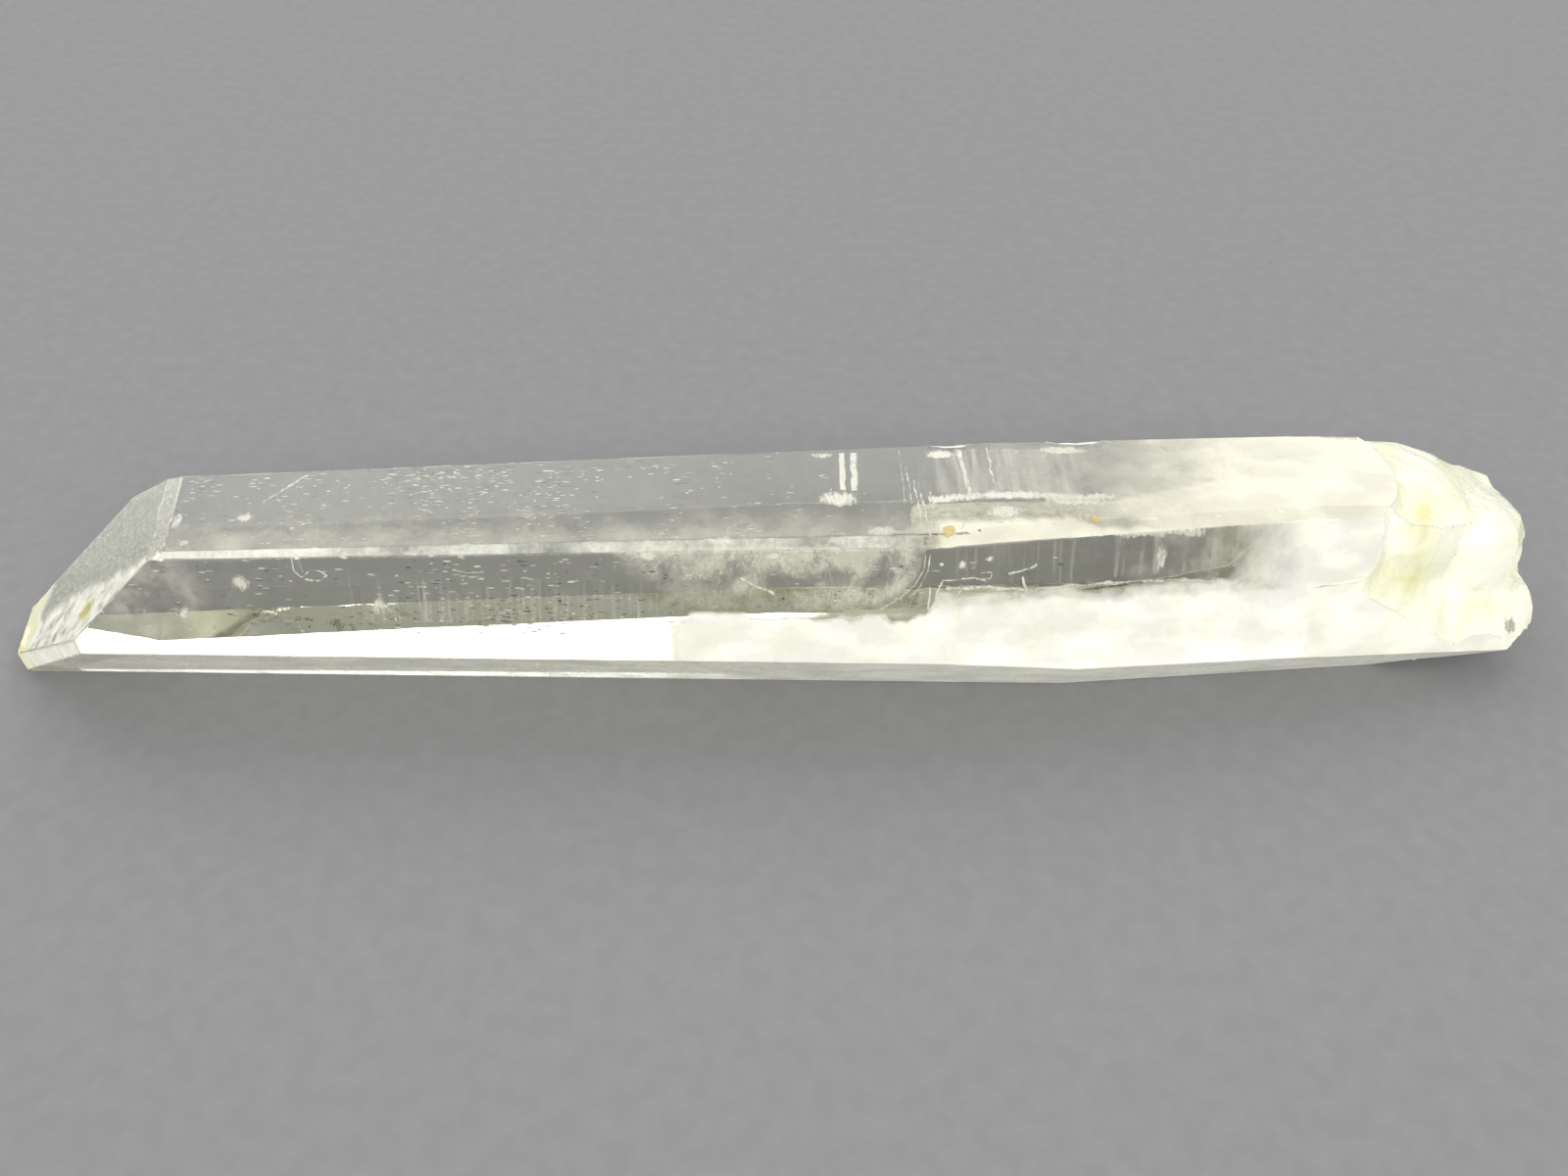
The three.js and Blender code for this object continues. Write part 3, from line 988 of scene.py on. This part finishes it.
FRONT_STREAKS = front_place(-34, -2, 13.2, 8.9, 0.25)
BASE_STREAKS = front_place(12, 34, 13.9, 11.2, 0.25)
streaks = join("growth_streaks", [
    sheet("top_streaks", top_place(8.5, 27, 0.35), 90, 20, top_streaks_full),
    sheet("front_streaks", FRONT_STREAKS, 80, 12, front_streaks_full),
    sheet("base_streaks", BASE_STREAKS, 80, 14, base_streaks_full),
])
print("streaks:", triangles(streaks), "triangles")

# %% [markdown]
# The flecks are flat pockets of liquid, more than a thousand of them, all lying along the crystal. One
# small flattened ball is scattered over two carrier sheets with geometry nodes, because particles are
# lost when a model is handed on, and nodes leave real faces. The carriers lie on the faces, and their
# numbers say where the flecks crowd together; each fleck gets its own size, turn, depth, and a random
# number that picks its painted glint or painted shade.

# %% Helpers for nodes
NUMBER, VECTOR, COLOUR = "NodeSocketFloat", "NodeSocketVector", "NodeSocketColor"


def feed(tree, node, inputs):
    """Gives a node its inputs: each is a value, or another node's output to join to it."""
    for name, value in inputs.items():
        if isinstance(value, bpy.types.NodeSocket):
            tree.links.new(value, node.inputs[name])
        else:
            node.inputs[name].default_value = value


def put(tree, kind, inputs=None, **settings):
    """Adds a node with its settings and inputs."""
    node = tree.nodes.new(kind)
    for name, value in settings.items():
        setattr(node, name, value)
    feed(tree, node, inputs or {})
    return node


def sum_of(tree, operation, first, second=0.0):
    return put(tree, "ShaderNodeMath", {0: first, 1: second}, operation=operation).outputs[0]


def plus(tree, first, second):
    return sum_of(tree, "ADD", first, second)


def times(tree, first, second):
    return sum_of(tree, "MULTIPLY", first, second)


def centred(tree, noise_here):
    """Noise of 0 to 1, moved down so that it lies evenly about 0."""
    return sum_of(tree, "SUBTRACT", noise_here, 0.5)


def swing(tree, noise_here, reach):
    """Centred noise, made larger or smaller."""
    return times(tree, centred(tree, noise_here), reach)


def scaled(tree, vector, number):
    """A vector or a colour times a number."""
    inputs = {0: vector, "Scale": number}
    return put(tree, "ShaderNodeVectorMath", inputs, operation="SCALE").outputs[0]


def rise(tree, value, start, stop, low_end=0.0, high_end=1.0):
    """A smooth rise from low_end, where the value is at start, to high_end at stop."""
    inputs = {
        "Value": value, "From Min": start, "From Max": stop, "To Min": low_end, "To Max": high_end
    }
    return put(tree, "ShaderNodeMapRange", inputs, interpolation_type="SMOOTHSTEP").outputs[0]


def random_value(tree, least, most, seed):
    """A random number, or a random vector where least and most have three numbers."""
    first, kind = (0, "FLOAT_VECTOR") if isinstance(least, tuple) else (2, "FLOAT")
    inputs = {first: least, first + 1: most, 8: seed}
    return put(tree, "FunctionNodeRandomValue", inputs, data_type=kind).outputs[first // 2]


# %% The flecks
FLECK_HALVES = (0.20 * MM, 0.055 * MM, 0.012 * MM)
LEAST_FLECK, MOST_FLECK = (0.3, 0.4, 0.7), (1.8, 1.5, 1.6)
DEEPEST, SHALLOWEST = -1.3 * MM, -0.1 * MM
FRONT_TILT = math.radians(60)
THICK_OF_FLECKS = -20

bpy.ops.object.select_all(action="DESELECT")
bpy.ops.mesh.primitive_ico_sphere_add(subdivisions=1, radius=1)
fleck = bpy.context.object
bpy.ops.transform.resize(value=FLECK_HALVES)
bpy.ops.object.transform_apply(location=False, rotation=False, scale=True)


def scatter(name, carrier, most_in_a_square_mm, tilt, seed):
    """Turns a carrier sheet into flecks that lie along X, leaning with the face."""
    tree = bpy.data.node_groups.new(name, "GeometryNodeTree")
    for way in ("INPUT", "OUTPUT"):
        tree.interface.new_socket(name="Geometry", in_out=way, socket_type="NodeSocketGeometry")
    given = put(tree, "NodeGroupInput").outputs[0]
    full = put(tree, "GeometryNodeInputNamedAttribute", {"Name": "full"}, data_type="FLOAT")
    density = times(tree, full.outputs[0], most_in_a_square_mm / MM / MM)
    points = put(tree, "GeometryNodeDistributePointsOnFaces",
                 {"Mesh": given, "Density": density, "Seed": seed})
    depth = random_value(tree, DEEPEST, SHALLOWEST, seed + 1)
    inward = scaled(tree, points.outputs["Normal"], depth)
    sunk = put(tree, "GeometryNodeSetPosition", {"Geometry": points.outputs[0], "Offset": inward})
    shape = put(tree, "GeometryNodeObjectInfo", {"Object": fleck}).outputs["Geometry"]
    turn = random_value(tree, (tilt - 0.15, -0.05, -0.04), (tilt + 0.15, 0.05, 0.04), seed + 2)
    size = random_value(tree, LEAST_FLECK, MOST_FLECK, seed + 3)
    placed = put(tree, "GeometryNodeInstanceOnPoints",
                 {"Points": sunk.outputs[0], "Instance": shape, "Rotation": turn, "Scale": size})
    # A random number for each fleck, which its finish turns into a painted glint or painted shade.
    glint_pick = random_value(tree, 0.0, 1.0, seed + 4)
    kept = put(tree, "GeometryNodeStoreNamedAttribute",
               {"Geometry": placed.outputs[0], "Name": "full", "Value": glint_pick},
               data_type="FLOAT", domain="INSTANCE")
    real = put(tree, "GeometryNodeRealizeInstances", {"Geometry": kept.outputs[0]}).outputs[0]
    put(tree, "NodeGroupOutput", {0: real})
    apply_modifier(carrier, "NODES", node_group=tree)
    print(name, triangles(carrier), "triangles")
    return carrier


def crowd(start, stop, left, right):
    """How crowded the flecks are: clusters, most of them round the thick of the flecks."""
    def full(u, v):
        x = between(left, right, u)
        clusters = max(bumps(Vector((x * 0.9, v * 3.0, start)), 2.2) + 0.35, 0.04)
        dense = 0.35 + 0.85 * ramp(11 - abs(x - THICK_OF_FLECKS), 0, 8)
        return min(clusters * dense, 1) * (1 - 0.8 * ramp(x, stop, right))
    return full


TOP_CARRIER, FRONT_CARRIER = top_place(-43, 8, 0.05), front_place(-45, 24, 13.0, 8.2, 0.05)
top_carrier = sheet("top_carrier", TOP_CARRIER, 90, 16, crowd(1, -4, -43, 8), thickness=0)
front_carrier = sheet("front_carrier", FRONT_CARRIER, 110, 12, crowd(5, 0, -45, 24), thickness=0)
flecks = join("flecks", [
    scatter("top_flecks", top_carrier, 6.5, 0.0, 11),
    scatter("front_flecks", front_carrier, 6.0, FRONT_TILT, 23),
])
bpy.data.objects.remove(fleck)

# %% [markdown]
# ## Finishes
# The finishes share a few effects, each a node group made once: noise of a size given in millimetres,
# which may be longer one way than another, the look of frost, and the look of milk.

# %% Helpers for finishes
def blend(tree, share, first, second):
    """A mix of two colours."""
    return put(tree, "ShaderNodeMix", {0: share, 6: first, 7: second}, data_type="RGBA").outputs[2]


def new_group(name, inputs, outputs):
    """An empty node group with named inputs and outputs."""
    tree = bpy.data.node_groups.new(name, "ShaderNodeTree")
    for label, (kind, value) in inputs.items():
        socket = tree.interface.new_socket(name=label, in_out="INPUT", socket_type=kind)
        socket.default_value = value
    for label, kind in outputs.items():
        tree.interface.new_socket(name=label, in_out="OUTPUT", socket_type=kind)
    return tree, put(tree, "NodeGroupInput").outputs, put(tree, "NodeGroupOutput")


def use(tree, group, inputs=None):
    """Places a node group in a tree and gives its outputs."""
    return put(tree, "ShaderNodeGroup", inputs, node_tree=group).outputs


def use_size(tree, size, detail=3.0, shift=0.0):
    """Noise of 0 to 1 whose patches have a size in millimetres: one number, or one for each axis."""
    sizes = size if isinstance(size, tuple) else (size, size, size)
    return use(tree, sized_noise, {"Size": sizes, "Detail": detail, "Shift": shift})["Value"]


def new_material(name):
    made = bpy.data.materials.new(name)
    made.use_nodes = True
    return made, made.node_tree, made.node_tree.nodes["Principled BSDF"]


def noted(tree, name):
    """A number that was noted on the points or the faces of the piece."""
    return put(tree, "ShaderNodeAttribute", attribute_name=name).outputs["Fac"]


def bumpy(tree, height, distance, strength):
    """A normal that follows a height."""
    inputs = {"Height": height, "Distance": distance, "Strength": strength}
    return put(tree, "ShaderNodeBump", inputs).outputs[0]


def dress(tree, shader, colour, solid, grain, rough, bump=None):
    """Joins up what most of the finishes have: a colour, how solid the place is, and a grain, which
    gives a least and a most roughness and may give a bump of a height and a strength."""
    inputs = {"Base Color": colour, "Alpha": solid, "Roughness": rise(tree, grain, 0.3, 0.7, *rough)}
    if bump:
        inputs["Normal"] = bumpy(tree, grain, *bump)
    feed(tree, shader, inputs)


def finish(piece, material):
    """Gives a finished piece its material, and fixes it to the crystal."""
    piece.data.materials.clear()
    piece.data.materials.append(material)
    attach(piece, "root")


# %% Noise by size
sized_noise, given, result = new_group(
    "sized_noise",
    {"Size": (VECTOR, (1, 1, 1)), "Detail": (NUMBER, 3.0), "Shift": (NUMBER, 0.0)},
    {"Value": NUMBER},
)
place_in_mm = scaled(sized_noise, put(sized_noise, "ShaderNodeTexCoord").outputs["Object"], 1 / MM)
shifted = put(sized_noise, "ShaderNodeVectorMath",
              {0: place_in_mm, 1: given["Shift"]}, operation="ADD")
in_sizes = put(sized_noise, "ShaderNodeVectorMath",
               {0: shifted.outputs[0], 1: given["Size"]}, operation="DIVIDE")
texture = put(sized_noise, "ShaderNodeTexNoise",
              {"Vector": in_sizes.outputs[0], "Scale": 1.0, "Detail": given["Detail"]})
feed(sized_noise, result, {"Value": texture.outputs[0]})

# %% [markdown]
# The look of frost takes how frosted and how stained a place is, and gives a colour, how solid the film
# is there, and a height for its grain. Light frost is a scatter of pits, and heavy frost is solid.

# %% The look of frost
WHITE_FROST = (0.72, 0.72, 0.63, 1)
CREAM = (0.66, 0.66, 0.47, 1)
IRON_YELLOW = (0.56, 0.51, 0.20, 1)

frost_look, given, result = new_group(
    "frost_look",
    {"Frost": (NUMBER, 1.0), "Stain": (NUMBER, 0.0)},
    {"Colour": COLOUR, "Solid": NUMBER, "Height": NUMBER},
)
pits = use_size(frost_look, 0.35, 5.0)
blotches = use_size(frost_look, 2.4, 3.0, 7.0)
cover = plus(frost_look, given["Frost"], swing(frost_look, pits, 0.3))
stain = times(frost_look, given["Stain"], rise(frost_look, blotches, 0.3, 0.7, 0.6, 1.3))
part_way = blend(frost_look, rise(frost_look, stain, 0.0, 0.5), WHITE_FROST, CREAM)
feed(frost_look, result, {
    "Colour": blend(frost_look, rise(frost_look, stain, 0.5, 1.2), part_way, IRON_YELLOW),
    "Solid": rise(frost_look, cover, 0.15, 0.85),
    "Height": pits,
})

# %% [markdown]
# The look of milk is white with faint cream drifts. It takes how full a place is, and gives two covers
# that go from nothing to solid: a ragged one, through wisps, and a soft one.

# %% The look of milk
MILK = (0.97, 0.965, 0.87, 1)
MILK_CREAM = (0.96, 0.95, 0.80, 1)

milk_look, given, result = new_group(
    "milk_look",
    {"Full": (NUMBER, 0.5), "Most": (NUMBER, 1.0)},
    {"Colour": COLOUR, "Solid": NUMBER, "Soft": NUMBER, "Height": NUMBER},
)
drifts = use_size(milk_look, 2.6, 5.0)
grain = use_size(milk_look, 0.5, 4.0, 13.0)
filled = plus(milk_look, given["Full"], centred(milk_look, drifts))
ragged = plus(milk_look, filled, swing(milk_look, grain, 0.35))
uneven = times(milk_look, sum_of(milk_look, "SUBTRACT", ragged, given["Full"]), 0.45)
soft = rise(milk_look, plus(milk_look, given["Full"], uneven), 0.05, 0.85)
feed(milk_look, result, {
    "Colour": blend(milk_look, rise(milk_look, drifts, 0.35, 0.65), MILK, MILK_CREAM),
    "Solid": times(milk_look, rise(milk_look, ragged, 0.30, 0.75), given["Most"]),
    "Soft": times(milk_look, soft, given["Most"]),
    "Height": grain,
})

# %% [markdown]
# ## Quartz
# Clear quartz is a plain glass shader: full transmission and an index of refraction of 1.544. A tinted
# glass would look the same through thick and thin, so the tint is a faint yellow-green absorption, which
# deepens with thickness. What makes it look grown is the bump: growth lines that run across the prism,
# fading in and out, and a fine grain where the surface is frosted. There the glass is rough too, so that
# nothing is reflected sharply from inside.

# %% Clear quartz
GROWTH_LINE = (0.22, 7.0, 7.0)
GROWTH_PATCH = (7.0, 5.0, 5.0)
GRAIN_SIZE = 0.18
CLEAR_ROUGHNESS, FROSTED_ROUGHNESS = 0.005, 0.50
QUARTZ_IOR = 1.544
QUARTZ_TINT = {"Color": (0.83, 0.83, 0.60, 1), "Density": 28}

quartz, tree, shader = new_material("clear_quartz")
frosted = noted(tree, "frost")
patch = rise(tree, use_size(tree, GROWTH_PATCH, 2.0, 3.0), 0.42, 0.62)
growth = times(tree, use_size(tree, GROWTH_LINE, 2.0), patch)
grain = times(tree, use_size(tree, GRAIN_SIZE, 4.0), frosted)
feed(tree, shader, {
    "Base Color": (1, 1, 1, 1),
    "Metallic": 0,
    "Transmission Weight": 1,
    "IOR": QUARTZ_IOR,
    "Normal": bumpy(tree, plus(tree, growth, times(tree, grain, 0.6)), 0.006 * MM, 0.6),
    "Roughness": rise(tree, frosted, 0.05, 0.45, CLEAR_ROUGHNESS, FROSTED_ROUGHNESS),
})
absorption = put(tree, "ShaderNodeVolumeAbsorption", QUARTZ_TINT)
feed(tree, tree.nodes["Material Output"], {"Volume": absorption.outputs[0]})
body.data.materials.append(quartz)
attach(body, "root")
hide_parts("crystal")

# %% [markdown]
# The frosted films could be one material for all, but crushed quartz on the worn parts is dull and fine,
# and the fresh break is glossier with a coarser grain. So one recipe makes both, each with its own
# roughness and grain, and the frost and stain noted on the points do the rest.

# %% Frosted films
ROUGHNESS_SWING = 0.12


def film_material(name, roughness, grain_height):
    """A frosted film: its numbers come from the piece's own frost and stain."""
    made, tree, shader = new_material(name)
    look = use(tree, frost_look, {"Frost": noted(tree, "frost"), "Stain": noted(tree, "stain")})
    rough = (roughness - ROUGHNESS_SWING, roughness + ROUGHNESS_SWING)
    dress(tree, shader, look["Colour"], look["Solid"], look["Height"], rough, (grain_height, 0.7))
    return made


finish(frost_film, film_material("worn_frost", 0.45, 0.012 * MM))
finish(base_film, film_material("milky_break", 0.30, 0.03 * MM))

# %% [markdown]
# The milk is made of bubbles too small to see. In the skins of the cloud it thickens along the
# crystal, and each skin is more solid than the one round it, so the cloud has depth. The film at the
# faces is as smooth as the polished stone under it, and its milk carries the painted shade noted on its
# faces: greyer on the top and the upper front, and tinted cream on the top.

# %% Milk of the cloud
CLOUD_SOLID = {"cloud_outer": 0.45, "cloud_middle": 0.75, "cloud_core": 1.0}
TOP_CREAM = (0.97, 0.94, 0.76, 1)
SKIN_SOLID = 0.97


def milk_material(name, most):
    """A skin of the cloud, patchy at its thin end and full towards the base."""
    made, tree, shader = new_material(name)
    where = put(tree, "ShaderNodeTexCoord").outputs["Object"]
    x = put(tree, "ShaderNodeSeparateXYZ", {0: where}).outputs[0]
    thin_end = rise(tree, x, CLOUD_START, 12 * MM, 0.22, 0.85)
    base_end = rise(tree, x, 30 * MM, 46 * MM, 0.0, 0.4)
    look = use(tree, milk_look, {"Full": plus(tree, thin_end, base_end), "Most": most})
    bump = (0.1 * MM, 0.5)
    dress(tree, shader, look["Colour"], look["Solid"], look["Height"], (0.6, 0.9), bump)
    return made


for name, most in CLOUD_SOLID.items():
    finish(cloud[name], milk_material(name, most))

milky_skin, tree, shader = new_material("milky_skin")
shade = noted(tree, "shade")
look = use(tree, milk_look, {"Full": noted(tree, "full"), "Most": SKIN_SOLID})
# Painted shade: the milk is tinted cream on the top and scaled darker by the shade of each face.
tinted = blend(tree, rise(tree, shade, FRONT_SHADE, TOP_SHADE), look["Colour"], TOP_CREAM)
uneven = rise(tree, use_size(tree, (4.0, 2.0, 2.0), 4.0, 23.0), 0.35, 0.65, 0.88, 1.06)
shaded = scaled(tree, tinted, times(tree, shade, uneven))
dress(tree, shader, shaded, look["Soft"], look["Height"], (0.06, 0.22))
finish(milk_film, milky_skin)

# %% [markdown]
# The sealed sheets are wisps of the same milk. Long sizes make streaks and short ones make puffs. The
# veil, which is large enough to show its drawing, also has fine bent hairs that branch, drawn where
# two noises cross their middle. The iron specks take the same recipe with rust in place of milk.

# %% Milk of the sealed sheets
IRON_BROWN = (0.62, 0.46, 0.16, 1)
HAIRS = (((0.5, 2.2, 2.2), 3.0), ((0.9, 1.1, 1.1), 17.0))
HAIR_HALF = 0.06


def sheet_material(name, most, size, raggedness, first=MILK, second=MILK_CREAM):
    """A sheet of bubbles: wisps of a given size, as full as the sheet's own numbers say."""
    made, tree, shader = new_material(name)
    wisps = use_size(tree, size, 5.0, 31.0)
    cover = plus(tree, noted(tree, "full"), swing(tree, wisps, raggedness))
    solid = times(tree, rise(tree, cover, 0.2, 1.0), most)
    colour = blend(tree, use_size(tree, 2.0, 3.0), first, second)
    dress(tree, shader, colour, solid, wisps, (0.3, 0.6), (0.05 * MM, 0.6))
    return made


def web_material(name, most):
    """The veil: fine bent hairs that branch, over a patchy haze."""
    made, tree, shader = new_material(name)
    full = noted(tree, "full")
    bent = times(tree, use_size(tree, 5.0, 3.0, 5.0), 6.0)
    hairs = 0.0
    for size, shift in HAIRS:
        noise_here = use_size(tree, size, 6.0, plus(tree, bent, shift))
        far = sum_of(tree, "ABSOLUTE", centred(tree, noise_here))
        hairs = plus(tree, hairs, rise(tree, far, HAIR_HALF, 0.0))
    patches = use_size(tree, 2.2, 6.0, 41.0)
    haze = times(tree, full, rise(tree, patches, 0.32, 0.68, 0.12, 1.15))
    cover = plus(tree, haze, times(tree, hairs, times(tree, full, 0.2)))
    solid = times(tree, rise(tree, cover, 0.02, 1.1), most)
    dress(tree, shader, blend(tree, patches, MILK, MILK_CREAM), solid, patches, (0.4, 0.6))
    return made


finish(veil, web_material("veil_milk", 0.8))
finish(roof, sheet_material("roof_milk", 0.95, 0.9, 1.5))
finish(streaks, sheet_material("streak_milk", 0.45, (0.4, 6.0, 6.0), 1.3))
# The lines and puffs take milk, and the puffs that are painted glints take the same white.
finish(bright_lines, sheet_material("line_milk_and_painted_glints", 1.0, (0.25, 0.6, 0.6), 1.7))
finish(iron, sheet_material("iron_stain", 0.75, 0.3, 2.0, IRON_YELLOW, IRON_BROWN))

# %% [markdown]
# Most flecks flash white where their flat side reflects, and some look dark, because the light that
# reaches them is thrown elsewhere. They could be glass, but hundreds of tiny lenses only make a render
# noisy, so each fleck's own number picks a plain painted tone for it: white for a painted glint, and
# grey to near black for painted shade.

# %% Finish of the flecks
# Painted tones for flecks that catch no glint: one in painted shade, one half lit.
FLECK_IN_PAINTED_SHADE = (0.12, 0.12, 0.09, 1)
FLECK_HALF_LIT = (0.66, 0.66, 0.56, 1)

speckled, tree, shader = new_material("flecks")
glint_pick = noted(tree, "full")
painted_shade_tone = blend(tree, rise(tree, glint_pick, 0.22, 0.5), FLECK_IN_PAINTED_SHADE, FLECK_HALF_LIT)
feed(tree, shader, {
    "Base Color": blend(tree, rise(tree, glint_pick, 0.7, 1.0), painted_shade_tone, MILK),
    "Roughness": rise(tree, glint_pick, 0.0, 1.0, 0.15, 0.4),
})
finish(flecks, speckled)

# %% [markdown]
# ## Floor, light and camera
# The stage is a plain pale floor. It lies a hair below the stone, as it does under any hard thing, so
# that the resting face still reflects like a mirror from inside.

# %% The floor
FLOOR_GAP = 0.05 * MM
DARKER_PAPER, LIGHTER_PAPER = (0.18, 0.18, 0.182, 1), (0.195, 0.195, 0.197, 1)

bpy.ops.mesh.primitive_plane_add(size=3, location=(0, 0, -FLOOR_GAP))
floor = bpy.context.object
floor.name = "floor"
paper, tree, shader = new_material("pale_floor")
tone = rise(tree, use_size(tree, 1.5, 6.0), 0.3, 0.7)
feed(tree, shader, {"Base Color": blend(tree, tone, DARKER_PAPER, LIGHTER_PAPER), "Roughness": 0.8})
floor.data.materials.append(paper)

# %% [markdown]
# The light is soft studio light. One long softbox stands behind the crystal: its light goes in at the
# back, is thrown up off the resting face and comes out of the front as a bright band, which is what
# shows that the stone is clear. A second one, high in front, lights the top and the front faces, a third
# lies low in front for the narrow face under them, and an even grey all round, lighter overhead, fills
# the rest.

# %% The lights
def softbox(name, height, away, width, depth, power):
    """A rectangle of light that faces the crystal, at a height in degrees over the floor; it stands
    behind the crystal, or in front of it where away is less than 0."""
    light = bpy.data.lights.new(name, "AREA")
    light.shape = "RECTANGLE"
    light.size, light.size_y, light.energy = width, depth, power
    lamp = bpy.data.objects.new(name, light)
    bpy.context.scene.collection.objects.link(lamp)
    angle = math.radians(height)
    lamp.location = (0, away * math.cos(angle), abs(away) * math.sin(angle))
    aim = Vector((0, 0, TOP / 2)) - lamp.location
    lamp.rotation_euler = aim.to_track_quat("-Z", "Y").to_euler()


softbox("back_softbox", 48, 0.45, 0.9, 0.26, 1.5)
softbox("front_softbox", 45, -0.65, 1.2, 0.26, 4.1)
softbox("low_softbox", 5, -0.65, 1.2, 0.08, 1.7)
world = bpy.data.worlds.new("studio")
world.use_nodes = True
tree = world.node_tree
towards = put(tree, "ShaderNodeTexCoord").outputs["Generated"]
up = put(tree, "ShaderNodeSeparateXYZ", {0: towards}).outputs[2]
feed(tree, tree.nodes["Background"], {
    "Color": (1, 1, 1, 1),
    "Strength": rise(tree, up, 0.15, 0.8, 0.38, 0.9),
})
bpy.context.scene.world = world

# %% [markdown]
# The camera looks down on the front of the crystal from close by, through a wide lens, so the two ends
# fall away from it. Light that goes in and out of glass and through many thin skins needs more bounces
# than usual, or the cloud would turn dark.

# %% The camera
CAMERA_PLACE = Vector((1.27, -66.19, 73.44)) * MM
CAMERA_DIP = math.radians(46.5)
BOUNCES = {
    "transparent_max_bounces": 32,
    "max_bounces": 20,
    "diffuse_bounces": 8,
    "glossy_bounces": 8,
    "transmission_bounces": 16,
}

scene = bpy.context.scene
lens = bpy.data.cameras.new("camera")
lens.lens, lens.sensor_width, lens.clip_start = 28.08, 36, 2 * MM
camera = bpy.data.objects.new("camera", lens)
scene.collection.objects.link(camera)
camera.location = CAMERA_PLACE
look_way = Vector((0, math.cos(CAMERA_DIP), -math.sin(CAMERA_DIP)))
camera.rotation_euler = look_way.to_track_quat("-Z", "Y").to_euler()
scene.camera = camera
scene.view_settings.view_transform = "Standard"
for name, most in BOUNCES.items():
    setattr(scene.cycles, name, most)
